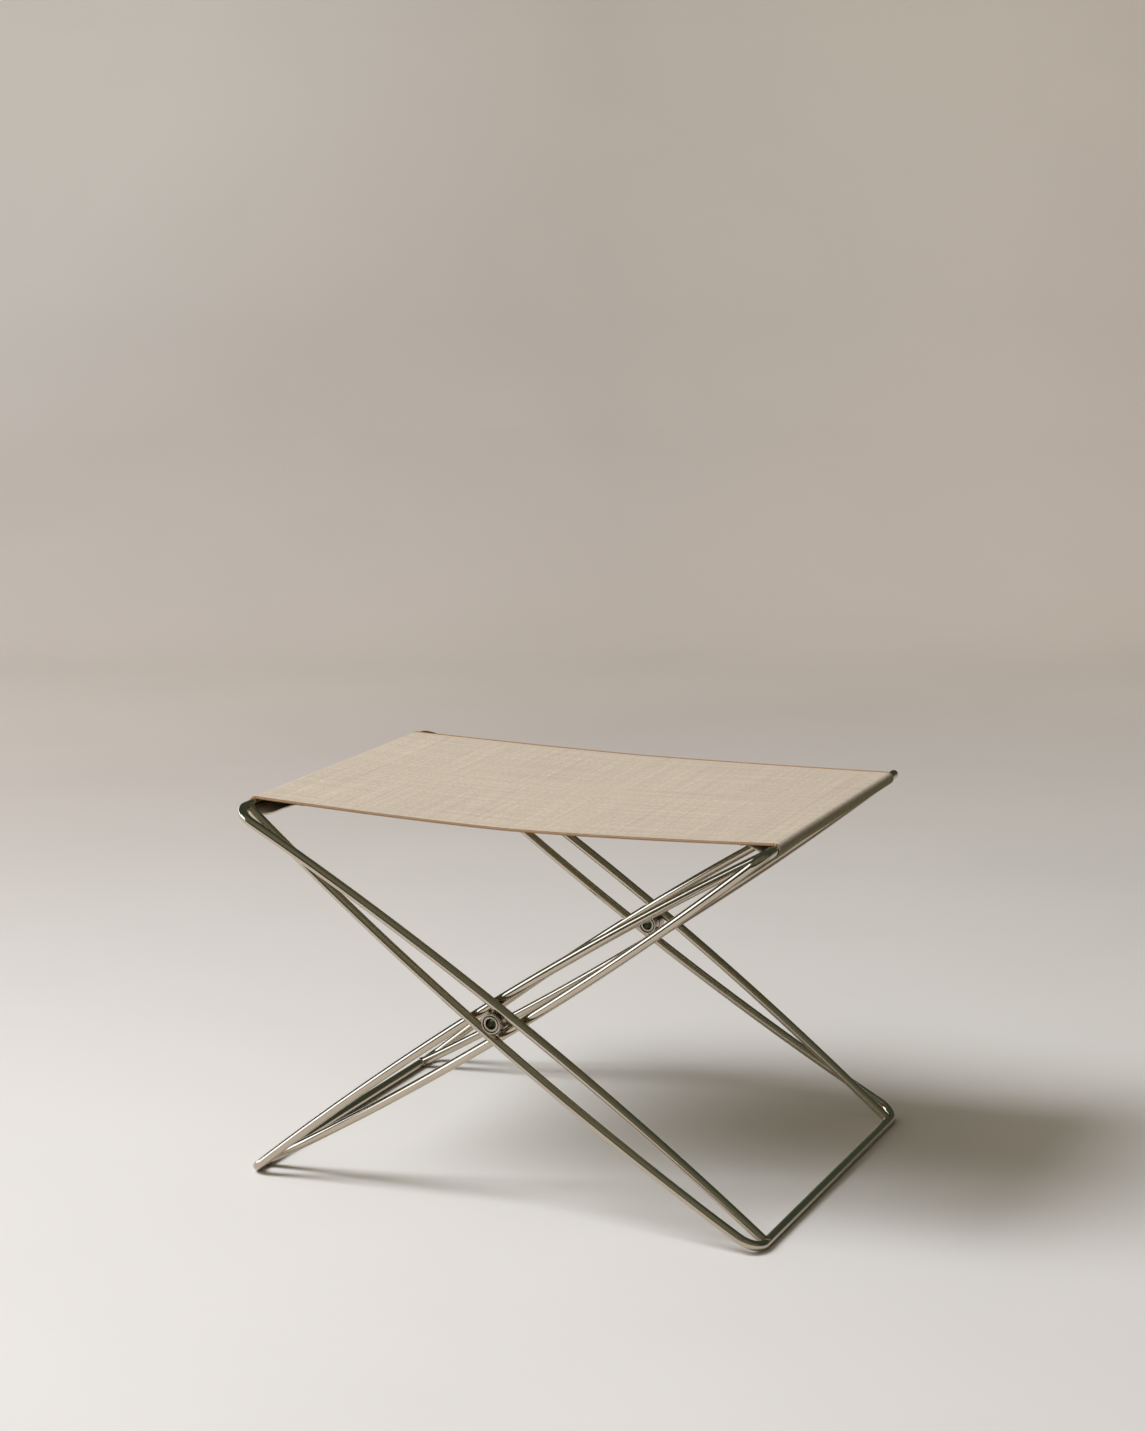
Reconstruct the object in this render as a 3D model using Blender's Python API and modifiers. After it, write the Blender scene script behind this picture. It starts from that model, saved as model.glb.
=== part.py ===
"""Folding stool: two nested frames of bent steel rod that cross at two hollow pivots, with a canvas seat.

The stool stands open on the floor at z = 0. X runs across the seat from top bar to top bar,
Y runs along the bars, and Z points up. The outer frame leans to the left at its top, and the
inner frame leans to the right and turns about the pivot axis, which runs along Y.
"""
import math

import bmesh
import bpy
from mathutils import Matrix, Vector

# Driving sizes of the frames, in metres.
BAR_SPAN = 0.572
BAR_RISE = 0.3905
OUTER_HALF_DEPTH = 0.221
FRAME_STEP = 0.013
ARM_SPLAY = 0.0265
ROD_RADIUS = 0.005
OUTER_BEND_RADIUS = 0.022
INNER_BEND_RADIUS = 0.014

# Driving sizes of the pivots.
TUBE_OUTER_RADIUS = 0.0104
TUBE_WALL = 0.0015
TUBE_PROUD_OUTSIDE = 0.0033
TUBE_INSET_INSIDE = 0.0
BUSH_WALL = 0.0013
PIN_WALL = 0.0014
PIN_LIP_HEIGHT = 0.0008
PIN_LIP_LENGTH = 0.0008
PIN_RECESS = 0.0003
WASHER_THICKNESS = 0.001

# Driving sizes of the weld beads between the pivot tubes and the rods.
BEAD_RADIUS = 0.0012
BEAD_SINK = 0.0003
BEAD_LENGTH = 0.006

# Driving sizes of the seat.
CLOTH = 0.0012
SAG_FRONT = 0.0095
SAG_REAR = 0.0045
SAG_SHAPE = 1.5
LEFT_HEM_DEPTH = 0.055
LEFT_HEM_SLACK = 0.005
RIGHT_HEM_DEPTH = 0.033
RIGHT_HEM_SLACK = 0.0
HEM_ALLOWANCE = 0.008
HEM_LOW_SHARE = 0.27
CANVAS_END_GAP = 0.0004
LEFT_FLARE = 0.008
THREAD = 0.0004
SEAM_WIDTH = 0.0016
EDGE_STITCH_WIDTH = 0.0022
EDGE_STITCH_INSET = 0.0004

# Fits.
CLEARANCE = 0.0003

# Fineness of the meshes, and the distance under which their points are joined.
MERGE = 0.00001
ROD_SIDES = 12
ARM_STEPS = 12
BEND_STEPS = 6
ARM_STOP = 2.0
TURN_STEPS = 32
BEAD_SIDES = 8
CUTTER_SIDES = 24
CLOTH_STATIONS = 9
SEAT_STEPS = 20

# Sizes that follow from the driving ones. The foot bars rest on the flat of their lowest facet.
FOOT_Z = ROD_RADIUS * math.cos(math.pi / ROD_SIDES)
TOP_Z = FOOT_Z + BAR_RISE
PIVOT_Z = FOOT_Z + BAR_RISE / 2
ARM_CHORD = math.hypot(BAR_SPAN, BAR_RISE)
ARM_BOW = TUBE_OUTER_RADIUS + CLEARANCE + ROD_RADIUS
INNER_HALF_DEPTH = OUTER_HALF_DEPTH - FRAME_STEP
BUSH_OUTER_RADIUS = TUBE_OUTER_RADIUS - TUBE_WALL - CLEARANCE
BUSH_INNER_RADIUS = BUSH_OUTER_RADIUS - BUSH_WALL
PIN_RADIUS = BUSH_INNER_RADIUS - CLEARANCE

COLLECTION = "folding_stool"
CUTTERS = "cutters"


def material(name, colour, roughness, metallic):
    """A Principled material in plain values."""
    made = bpy.data.materials.new(name)
    made.use_nodes = True
    shader = made.node_tree.nodes["Principled BSDF"]
    shader.inputs["Base Color"].default_value = (*colour, 1.0)
    shader.inputs["Roughness"].default_value = roughness
    shader.inputs["Metallic"].default_value = metallic
    made.diffuse_color = (*colour, 1.0)
    return made


def place(name, data, parent, look, turned=False):
    """Link a named object under its frame. A turned object is the rear one swung to the front."""
    made = bpy.data.objects.new(name, data)
    bpy.data.collections[COLLECTION].objects.link(made)
    made.data.materials.append(look)
    made.parent = parent
    if turned:
        made.rotation_euler = (0.0, 0.0, math.pi)
    return made


def empty(name, location):
    """An empty that carries one frame, on the pivot axis."""
    made = bpy.data.objects.new(name, None)
    made.empty_display_size = 0.05
    made.location = location
    bpy.data.collections[COLLECTION].objects.link(made)
    return made


# Rods of the two frames.

def arm_point(lean, bend_end, half_depth, s, side):
    """Centre of an arm at s, from -1 at the foot bar to 1 at the top bar, seen from the pivot.

    lean is -1 for the frame whose top bar is on the left, and bend_end is 1 for the rod that
    makes the top bar. The two rods of a frame bow apart to pass on both sides of the pivot tube.
    """
    along = Vector((lean * BAR_SPAN, 0.0, BAR_RISE)) / 2
    normal = Vector((-lean * BAR_RISE, 0.0, BAR_SPAN)) / ARM_CHORD
    bow = -lean * bend_end * ARM_BOW * (1.0 - s * s)
    depth = half_depth - ARM_SPLAY * (1.0 - bend_end * s) / 2
    return along * s + normal * bow + Vector((0.0, side * depth, 0.0))


def bend_radius(lean):
    """Radius of the bends of one frame, on the centre of the rod."""
    return OUTER_BEND_RADIUS if lean < 0 else INNER_BEND_RADIUS


def bend(corner, arm_way, bar_way, radius):
    """Centre points round one bend, from the arm to the bar."""
    half = arm_way.angle(bar_way) / 2
    centre = corner + (arm_way + bar_way).normalized() * (radius / math.sin(half))
    reach = radius / math.tan(half)
    start = (corner + arm_way * reach - centre).normalized()
    end = (corner + bar_way * reach - centre).normalized()
    return [centre + start.slerp(end, k / BEND_STEPS) * radius for k in range(BEND_STEPS + 1)]


def half_route(lean, bend_end, half_depth, side):
    """Centre points of one arm from its welded end to the middle of the bar that it bends into.

    The arm runs on to the axis of the bar that it is welded to, and is coped to that bar later.
    Its own points stop ARM_STOP bend radii short of the corner, where the bend takes over.
    """
    radius = bend_radius(lean)
    bend_s = bend_end * (1.0 - 2.0 * ARM_STOP * radius / ARM_CHORD)
    points = []
    for k in range(ARM_STEPS + 1):
        s = -bend_end + (bend_s + bend_end) * k / ARM_STEPS
        points.append(arm_point(lean, bend_end, half_depth, s, side))
    corner = arm_point(lean, bend_end, half_depth, bend_end, side)
    arm_way = (points[-1] - corner).normalized()
    return points + bend(corner, arm_way, Vector((0.0, -side, 0.0)), radius)


def rod_mesh(name, points):
    """A mesh of round rod along the points, with closed ends and a flat facet underneath."""
    data = bpy.data.curves.new(name, "CURVE")
    data.dimensions = "3D"
    data.twist_mode = "Z_UP"
    data.bevel_depth = ROD_RADIUS
    data.bevel_resolution = (ROD_SIDES - 4) // 2
    data.use_fill_caps = True
    spline = data.splines.new("POLY")
    spline.points.add(len(points) - 1)
    for target, point in zip(spline.points, points):
        target.co = (*point, 1.0)
        target.tilt = math.pi / ROD_SIDES
    wire = bpy.data.objects.new(name, data)
    bpy.context.scene.collection.objects.link(wire)
    graph = bpy.context.evaluated_depsgraph_get()
    mesh = bpy.data.meshes.new_from_object(wire.evaluated_get(graph))
    bpy.data.objects.remove(wire, do_unlink=True)
    work = bmesh.new()
    work.from_mesh(mesh)
    bmesh.ops.remove_doubles(work, verts=work.verts, dist=MERGE)
    work.to_mesh(mesh)
    work.free()
    return mesh


def cutter(name, parent, cylinders, sides):
    """A hidden tool of cylinders along Y. Each has a centre, a radius and a length."""
    work = bmesh.new()
    along_y = Matrix.Rotation(math.pi / 2, 4, "X") @ Matrix.Rotation(math.pi / sides, 4, "Z")
    for centre, radius, length in cylinders:
        bmesh.ops.create_cone(
            work, cap_ends=True, segments=sides, radius1=radius, radius2=radius, depth=length,
            matrix=Matrix.Translation(centre) @ along_y,
        )
    mesh = bpy.data.meshes.new(name)
    work.to_mesh(mesh)
    work.free()
    made = bpy.data.objects.new(name, mesh)
    bpy.data.collections[CUTTERS].objects.link(made)
    made.parent = parent
    made.hide_render = True
    made.display_type = "WIRE"
    return made


def join(target, tool, operation):
    """Cut a tool from an object or add it to the object."""
    step = target.modifiers.new(operation.lower(), "BOOLEAN")
    step.operation = operation
    step.solver = "EXACT"
    step.object = tool


def frame_rod(name, parent, lean, bend_end, half_depth, look):
    """One bent rod: two arms and the bar between them, in one length, with both ends coped."""
    front = half_route(lean, bend_end, half_depth, -1)
    rear = half_route(lean, bend_end, half_depth, 1)
    made = place(name, rod_mesh(name, front + rear[::-1]), parent, look)
    bar = arm_point(lean, bend_end, half_depth, -bend_end, 0)
    radius = (ROD_RADIUS + CLEARANCE) / math.cos(math.pi / CUTTER_SIDES)
    tool = cutter(name + "_cope", parent, [(bar, radius, 2.0 * half_depth)], CUTTER_SIDES)
    join(made, tool, "DIFFERENCE")
    return made


# Turned pieces of the pivots. Profiles hold pairs of radius and distance from the middle plane.

def turned_piece(name, parent, profile, look, front):
    """A ring turned about the pivot axis from a closed profile."""
    mesh = bpy.data.meshes.new(name)
    corners = [(radius, y, 0.0) for radius, y in profile]
    count = len(corners)
    mesh.from_pydata(corners, [(k, (k + 1) % count) for k in range(count)], [])
    made = place(name, mesh, parent, look, turned=front)
    screw = made.modifiers.new("turn", "SCREW")
    screw.axis = "Y"
    screw.steps = TURN_STEPS
    screw.render_steps = TURN_STEPS
    screw.use_merge_vertices = True
    screw.merge_threshold = MERGE
    screw.use_smooth_shade = False
    return made


def ring_profile(inner, outer, near, far):
    """Closed profile of a plain ring."""
    return [(inner, near), (inner, far), (outer, far), (outer, near)]


def pivot_levels():
    """Distances from the middle plane at which the pieces of a pivot begin and end."""
    outer_rods = OUTER_HALF_DEPTH - ARM_SPLAY / 2
    inner_rods = INNER_HALF_DEPTH - ARM_SPLAY / 2
    middle = (outer_rods + inner_rods) / 2
    outer_end = outer_rods + ROD_RADIUS + TUBE_PROUD_OUTSIDE
    inner_end = inner_rods - ROD_RADIUS + TUBE_INSET_INSIDE
    half_gap = WASHER_THICKNESS / 2
    return {
        "outer end": outer_end,
        "outer tube": middle + half_gap + CLEARANCE,
        "washer far": middle + half_gap,
        "washer near": middle - half_gap,
        "inner tube": middle - half_gap - CLEARANCE,
        "inner end": inner_end,
        "lip outer": outer_end - PIN_RECESS,
        "lip inner": inner_end + PIN_RECESS,
    }


def pin_profile(level):
    """Closed profile of the hollow pin with a rolled lip at each end."""
    bore = PIN_RADIUS - PIN_WALL
    lip = PIN_RADIUS + PIN_LIP_HEIGHT
    near = level["lip inner"]
    far = level["lip outer"]
    return [
        (bore, near), (bore, far), (lip, far), (lip, far - PIN_LIP_LENGTH),
        (PIN_RADIUS, far - PIN_LIP_LENGTH), (PIN_RADIUS, near + PIN_LIP_LENGTH),
        (lip, near + PIN_LIP_LENGTH), (lip, near),
    ]


def add_beads(tube, parent, lean, depth, front):
    """Weld beads on a pivot tube, in the grooves beside the two rods that hold it."""
    from_axis = TUBE_OUTER_RADIUS + BEAD_RADIUS - BEAD_SINK
    off_rod = ARM_BOW - ROD_RADIUS - CLEARANCE - BEAD_RADIUS
    along = math.sqrt(from_axis ** 2 - off_rod ** 2)
    chord = Vector((lean * BAR_SPAN, 0.0, BAR_RISE)) / ARM_CHORD
    normal = Vector((-lean * BAR_RISE, 0.0, BAR_SPAN)) / ARM_CHORD
    middle = Vector((0.0, -depth if front else depth, 0.0))
    beads = []
    for up in (-1, 1):
        for way in (-1, 1):
            spot = chord * (way * along) + normal * (up * off_rod) + middle
            beads.append((spot, BEAD_RADIUS, BEAD_LENGTH))
    join(tube, cutter(tube.name + "_beads", parent, beads, BEAD_SIDES), "UNION")


def build_pivot(end_name, front, outer, inner, looks):
    """The six pieces of one pivot."""
    level = pivot_levels()
    tube_bore = TUBE_OUTER_RADIUS - TUBE_WALL
    past_lip = PIN_LIP_LENGTH + CLEARANCE
    washer_bore = PIN_RADIUS + CLEARANCE
    rings = [
        ("outer_pivot_tube", outer, tube_bore, TUBE_OUTER_RADIUS,
         level["outer tube"], level["outer end"], "steel"),
        ("outer_pivot_bush", outer, BUSH_INNER_RADIUS, BUSH_OUTER_RADIUS,
         level["outer tube"], level["lip outer"] - past_lip, "nylon"),
        ("pivot_washer", outer, washer_bore, TUBE_OUTER_RADIUS,
         level["washer near"], level["washer far"], "nylon"),
        ("inner_pivot_tube", inner, tube_bore, TUBE_OUTER_RADIUS,
         level["inner end"], level["inner tube"], "steel"),
        ("inner_pivot_bush", inner, BUSH_INNER_RADIUS, BUSH_OUTER_RADIUS,
         level["lip inner"] + past_lip, level["inner tube"], "nylon"),
    ]
    made = {}
    for name, parent, bore, rim, near, far, look in rings:
        profile = ring_profile(bore, rim, near, far)
        made[name] = turned_piece(f"{end_name}_{name}", parent, profile, looks[look], front)
    outer_depth = OUTER_HALF_DEPTH - ARM_SPLAY / 2
    inner_depth = INNER_HALF_DEPTH - ARM_SPLAY / 2
    add_beads(made["outer_pivot_tube"], outer, -1, outer_depth, front)
    add_beads(made["inner_pivot_tube"], inner, 1, inner_depth, front)
    turned_piece(f"{end_name}_pivot_pin", outer, pin_profile(level), looks["steel"], front)


# Seat: one strip of canvas, hemmed into a loose tunnel round each top bar. A share of 0 is its
# front edge and a share of 1 is its rear edge.

def edge_depth(x):
    """Distance of the front and rear edges of the cloth from the middle plane.

    The cloth fits between the arms on the inner frame's top bar at the right. At the left the
    outer frame leaves it more room, and it is wider there.
    """
    at_right = INNER_HALF_DEPTH - ARM_SPLAY - ROD_RADIUS - CANVAS_END_GAP
    return at_right + LEFT_FLARE * min(max(0.5 - x / BAR_SPAN, 0.0), 1.0)


def cloth_y(x, share, inset=0.0):
    """Place along the bars of a share of the cloth's width, between two lines inside its edges."""
    return (edge_depth(x) - inset) * (2.0 * share - 1.0)


def seat_height(x, share):
    """Height of the middle of the cloth on the seat, measured from the pivot axis."""
    crest = BAR_RISE / 2 + ROD_RADIUS + CLEARANCE + CLOTH / 2
    sag = SAG_FRONT + (SAG_REAR - SAG_FRONT) * share
    return crest - sag * (1.0 - abs(2.0 * x / BAR_SPAN) ** SAG_SHAPE)


def hem_seam_x(side):
    """Place across the seat of the seam that closes one hem."""
    depth = LEFT_HEM_DEPTH if side < 0 else RIGHT_HEM_DEPTH
    return side * (BAR_SPAN / 2 + ROD_RADIUS + CLEARANCE + CLOTH - depth)


def hem_line(side, share):
    """Middle line of the cloth from the crest on one bar, round the bar, to the end of the hem."""
    bar_x = side * BAR_SPAN / 2
    bar_z = BAR_RISE / 2
    wrap = ROD_RADIUS + CLEARANCE + CLOTH / 2
    slack = LEFT_HEM_SLACK if side < 0 else RIGHT_HEM_SLACK
    points = []
    for degrees in range(60, -91, -30):
        turn = math.radians(degrees)
        points.append((bar_x + side * wrap * math.cos(turn), bar_z + wrap * math.sin(turn)))
    seam_x = hem_seam_x(side)
    points.append((bar_x + (seam_x - bar_x) * HEM_LOW_SHARE, bar_z - wrap - slack))
    for x in (seam_x, seam_x - side * HEM_ALLOWANCE):
        points.append((x, seat_height(x, share) - CLOTH - CLEARANCE))
    return points


def canvas_line(share):
    """Middle line of the cloth at one share of its width, from hem end to hem end."""
    seat = []
    for k in range(SEAT_STEPS + 1):
        x = BAR_SPAN * (k / SEAT_STEPS - 0.5)
        seat.append((x, seat_height(x, share)))
    whole = hem_line(-1, share)[::-1] + seat + hem_line(1, share)
    return [(x, cloth_y(x, share), z) for x, z in whole]


def cloth_object(name, parent, lines, thickness, look):
    """A closed strip made from middle lines, each a list of points, one line to a station."""
    columns = len(lines[0])
    corners = [point for line in lines for point in line]
    faces = []
    for row in range(len(lines) - 1):
        for column in range(columns - 1):
            first = row * columns + column
            faces.append((first, first + 1, first + columns + 1, first + columns))
    mesh = bpy.data.meshes.new(name)
    mesh.from_pydata(corners, [], faces)
    made = place(name, mesh, parent, look)
    solid = made.modifiers.new("thickness", "SOLIDIFY")
    solid.thickness = thickness
    solid.offset = 0.0
    solid.use_even_offset = True
    return made


def build_canvas(parent, look):
    """The seat cloth with both hems."""
    lines = [canvas_line(k / (CLOTH_STATIONS - 1)) for k in range(CLOTH_STATIONS)]
    return cloth_object("seat_canvas", parent, lines, CLOTH, look)


def on_cloth(x, share, inset):
    """Point for the middle of a thread that lies on top of the seat."""
    return (x, cloth_y(x, share, inset), seat_height(x, share) + (CLOTH + THREAD) / 2 + CLEARANCE)


def build_hem_seam(name, parent, side, look):
    """The row of thread that closes one hem, as a flat strip on the cloth."""
    middle = hem_seam_x(side)
    inset = EDGE_STITCH_INSET + EDGE_STITCH_WIDTH + CLEARANCE
    lines = []
    for k in range(CLOTH_STATIONS):
        share = k / (CLOTH_STATIONS - 1)
        sides = (middle - SEAM_WIDTH / 2, middle + SEAM_WIDTH / 2)
        lines.append([on_cloth(x, share, inset) for x in sides])
    return cloth_object(name, parent, lines, THREAD, look)


def build_edge_stitch(name, parent, share, look):
    """The stitching along the front (share 0) or rear (share 1) edge, between the two bars."""
    insets = [EDGE_STITCH_INSET, EDGE_STITCH_INSET + EDGE_STITCH_WIDTH]
    if share > 0:
        insets.reverse()
    lines = []
    for inset in insets:
        xs = [BAR_SPAN * (k / SEAT_STEPS - 0.5) for k in range(SEAT_STEPS + 1)]
        lines.append([on_cloth(x, share, inset) for x in xs])
    return cloth_object(name, parent, lines, THREAD, look)


def build():
    """Clear the scene and build the stool."""
    for old in list(bpy.data.objects):
        bpy.data.objects.remove(old, do_unlink=True)
    for name in (COLLECTION, CUTTERS):
        bpy.context.scene.collection.children.link(bpy.data.collections.new(name))
    looks = {
        "steel": material("brushed_stainless_steel", (0.42, 0.40, 0.35), 0.32, 1.0),
        "nylon": material("black_nylon", (0.02, 0.02, 0.018), 0.55, 0.0),
        "canvas": material("natural_canvas", (0.56, 0.50, 0.40), 0.95, 0.0),
        "edge thread": material("brown_sewing_thread", (0.25, 0.14, 0.07), 0.90, 0.0),
        "hem thread": material("natural_sewing_thread", (0.54, 0.48, 0.38), 0.90, 0.0),
    }
    outer = empty("outer_frame", (0.0, 0.0, PIVOT_Z))
    inner = empty("inner_frame", (0.0, 0.0, PIVOT_Z))
    frame_rod("outer_frame_top_rod", outer, -1, 1, OUTER_HALF_DEPTH, looks["steel"])
    frame_rod("outer_frame_foot_rod", outer, -1, -1, OUTER_HALF_DEPTH, looks["steel"])
    frame_rod("inner_frame_top_rod", inner, 1, 1, INNER_HALF_DEPTH, looks["steel"])
    frame_rod("inner_frame_foot_rod", inner, 1, -1, INNER_HALF_DEPTH, looks["steel"])
    build_pivot("front", True, outer, inner, looks)
    build_pivot("rear", False, outer, inner, looks)
    build_canvas(outer, looks["canvas"])
    build_hem_seam("left_hem_seam", outer, -1, looks["hem thread"])
    build_hem_seam("right_hem_seam", inner, 1, looks["hem thread"])
    build_edge_stitch("front_edge_stitching", outer, 0.0, looks["edge thread"])
    build_edge_stitch("rear_edge_stitching", outer, 1.0, looks["edge thread"])


build()
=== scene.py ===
# %% [markdown]
# # A folding stool of round steel rod and canvas
#
# The stool is two frames of bent rod that cross and turn on two short pivots, and one strip of
# canvas that is hemmed round the two top bars. Its solids are already made and jointed elsewhere.
# This lesson loads them as a fixed frame and dresses them for a picture: finer rods with their
# welds, turned pivots with soft edges, a woven seat with real stitches, and the studio round them.

# %% Load the fixed frame
import math
from itertools import product

import bpy
import numpy as np
from mathutils import Matrix, Vector


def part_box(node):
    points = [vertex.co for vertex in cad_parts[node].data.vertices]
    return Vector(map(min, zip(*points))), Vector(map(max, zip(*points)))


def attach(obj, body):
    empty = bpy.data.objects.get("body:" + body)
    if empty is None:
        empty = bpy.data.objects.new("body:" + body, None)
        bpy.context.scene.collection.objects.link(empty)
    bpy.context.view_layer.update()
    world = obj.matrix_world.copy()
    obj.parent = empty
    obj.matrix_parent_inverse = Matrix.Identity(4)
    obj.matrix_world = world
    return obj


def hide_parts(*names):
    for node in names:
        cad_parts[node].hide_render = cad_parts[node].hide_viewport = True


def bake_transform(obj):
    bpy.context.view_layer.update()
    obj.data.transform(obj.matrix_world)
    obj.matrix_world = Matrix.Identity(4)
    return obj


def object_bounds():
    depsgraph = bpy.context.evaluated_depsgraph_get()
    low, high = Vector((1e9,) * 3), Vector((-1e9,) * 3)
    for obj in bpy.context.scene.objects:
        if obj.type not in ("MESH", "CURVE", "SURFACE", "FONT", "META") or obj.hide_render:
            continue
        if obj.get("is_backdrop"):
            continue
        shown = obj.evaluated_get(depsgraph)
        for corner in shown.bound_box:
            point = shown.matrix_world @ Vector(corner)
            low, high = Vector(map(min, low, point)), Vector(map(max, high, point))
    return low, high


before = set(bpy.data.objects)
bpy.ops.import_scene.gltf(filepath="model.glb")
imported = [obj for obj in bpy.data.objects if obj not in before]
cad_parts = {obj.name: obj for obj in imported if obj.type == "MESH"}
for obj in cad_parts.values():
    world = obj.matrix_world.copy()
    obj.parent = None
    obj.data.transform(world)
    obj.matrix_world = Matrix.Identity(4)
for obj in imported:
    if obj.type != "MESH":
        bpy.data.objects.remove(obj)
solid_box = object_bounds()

# %% [markdown]
# The finer pieces have to lie exactly where the solids are, so the few sizes that the solids were
# made from come first, in metres. The middle of the stool is the origin, the floor is Z = 0, and
# the frame whose top bar is on the left is called the outer frame, because it holds the other one
# between its arms.

# %% Sizes of the stool
BAR_SPAN = 0.572  # from the centre of a left bar to that of a right one
BAR_RISE = 0.3905  # from the centre of a foot bar to that of a top bar
ROD_RADIUS = 0.005
BEND_RADIUS = {"outer": 0.022, "inner": 0.014}
HALF_DEPTH = {"outer": 0.221, "inner": 0.208}  # from the middle plane to an arm at its bend
ARM_SPLAY = 0.0265  # how much nearer the middle plane an arm is at its welded end
ARM_BOW = 0.0157  # how far an arm bows out from a straight line at the pivot
PIVOT_Z = 0.20008
LEAN = {"outer": -1, "inner": 1}
SIGN = {"front": -1, "rear": 1, "left": -1, "right": 1, "foot": -1, "top": 1}

ARM_CHORD = math.hypot(BAR_SPAN, BAR_RISE)
PIVOT = Vector((0.0, 0.0, PIVOT_Z))
print("arms are", round(ARM_CHORD * 1000), "mm from bar to bar")

# %% [markdown]
# Every finish below is a small net of shader nodes. Colours are picked as the eye sees them, in
# sRGB hex, while Blender adds up light in linear values, so one function turns the first into the
# second. Another adds any node, sets it and links it in one call.

# %% Colours, nodes and finishes
def linear(colour):
    """Linear colour with alpha from an sRGB hex string such as c8bea8."""
    parts = [int(colour[k:k + 2], 16) / 255 for k in (0, 2, 4)]
    return (*[p / 12.92 if p <= 0.04045 else ((p + 0.055) / 1.055) ** 2.4 for p in parts], 1.0)


def add_node(tree, kind, inputs=None, **settings):
    """Add a node. An input is given a number or colour, or the output socket that feeds it."""
    node = tree.nodes.new("ShaderNode" + kind)
    for name, value in settings.items():
        setattr(node, name, value)
    for socket, value in (inputs or {}).items():
        if isinstance(value, bpy.types.NodeSocket):
            tree.links.new(value, node.inputs[socket])
        else:
            node.inputs[socket].default_value = value
    return node


def new_finish(name):
    """An empty material and its node tree."""
    made = bpy.data.materials.new(name)
    made.use_nodes = True
    made.node_tree.nodes.clear()
    return made, made.node_tree


def finished(made, inputs):
    """The material, with its shader and its output."""
    shader = add_node(made.node_tree, "BsdfPrincipled", inputs)
    add_node(made.node_tree, "OutputMaterial", {0: shader.outputs[0]})
    print("made", made.name, "with", len(made.node_tree.nodes), "nodes")
    return made


print("pure white is", [round(c, 2) for c in linear("ffffff")])

# %% [markdown]
# Nearly every finish needs the same few nodes. They get short names here, and each gives back the
# socket that the next node takes.

# %% Short names for nodes
def maths(tree, operation, first, *others):
    """One operation on a number, or on several numbers in turn, as in a product."""
    if not others:
        return add_node(tree, "Math", {0: first}, operation=operation).outputs[0]
    for other in others:
        first = add_node(tree, "Math", {0: first, 1: other}, operation=operation).outputs[0]
    return first


def vectors(tree, operation, inputs, output="Vector"):
    return add_node(tree, "VectorMath", inputs, operation=operation).outputs[output]


def remap(tree, value, start, end, low=0.0, high=1.0, **settings):
    """low where the value is start, high where it is end, and even steps between."""
    return add_node(tree, "MapRange", {"Value": value, "From Min": start, "From Max": end,
                                       "To Min": low, "To Max": high}, **settings).outputs[0]


def noise(tree, where, scale, detail, **more):
    """Cloudy noise, 1 / scale metres from patch to patch. Two scales draw it out into streaks."""
    if isinstance(scale, tuple):
        where = add_node(tree, "Mapping", {"Vector": where, "Scale": (*scale, 1.0)}).outputs[0]
        scale = 1.0
    return add_node(tree, "TexNoise", {"Vector": where, "Scale": scale, "Detail": detail,
                                       **more}).outputs["Fac"]


def ramp(tree, fac, *stops):
    """Colour that runs through stops of a position and a hex colour."""
    node = add_node(tree, "ValToRGB", {"Fac": fac})
    elements = node.color_ramp.elements
    for end in (0, -1):
        elements[end].position, elements[end].color = stops[end][0], linear(stops[end][1])
    for position, colour in stops[1:-1]:
        elements.new(position).color = linear(colour)
    return node.outputs[0]


def mixed(tree, share, first, second, **settings):
    """The first colour where share is 0, the second where it is 1."""
    return add_node(tree, "Mix", {0: share, 6: first, 7: second}, data_type="RGBA",
                    **settings).outputs[2]


def multiplied(tree, colour, by):
    return mixed(tree, 1.0, colour, by, blend_type="MULTIPLY")


def bump(tree, height, strength, distance):
    """Relief as a normal. distance is the real height of the relief in metres."""
    return add_node(tree, "Bump", {"Height": height, "Strength": strength,
                                   "Distance": distance}).outputs[0]


def mottled(name, scale, detail, stops, roughness, relief, **uniform):
    """A finish whose colour, roughness and relief all follow one cloudy noise."""
    made, tree = new_finish(name)
    cloud = noise(tree, add_node(tree, "TexCoord").outputs["Object"], scale, detail)
    return finished(made, {
        "Base Color": ramp(tree, cloud, *stops), "Normal": bump(tree, cloud, *relief),
        "Roughness": remap(tree, cloud, 0.0, 1.0, *roughness), **uniform})


print("short names:", [f.__name__ for f in (maths, vectors, remap, noise, ramp, mixed, bump)])

# %% [markdown]
# The rods are cold-drawn stainless steel, rubbed down with a fine belt along their length. That
# leaves a satin skin: it mirrors the floor and the dark of the room as soft long bands, and faint
# lines run along the rod. The lines are really about 0.1 mm wide, too fine to show, so they are
# drawn 0.5 mm wide. Each rod carries a map in metres, round the rod and along it, for them.

# %% Satin drawn steel
def satin_drawn_steel():
    made, tree = new_finish("satin_drawn_stainless_steel")
    metres = add_node(tree, "UVMap", uv_map="metres").outputs["UV"]
    where = add_node(tree, "TexCoord").outputs["Object"]
    # Draw lines: 0.5 mm wide round the rod, about 60 mm long.
    drawn = noise(tree, metres, (2000.0, 16.0), 3.0)
    # Finger marks and handling: cloudy patches some 50 mm across.
    cloud = noise(tree, where, 22.0, 4.0)
    rough = maths(tree, "ADD", remap(tree, cloud, 0.3, 0.7, 0.07, 0.12),
                  remap(tree, drawn, 0.3, 0.7, -0.01, 0.02))
    return finished(made, {
        "Base Color": ramp(tree, drawn, (0.3, "b8ac9a"), (0.7, "cec3b2")), "Metallic": 1.0,
        "Roughness": rough, "Normal": bump(tree, drawn, 0.05, 0.00002)})


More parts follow.
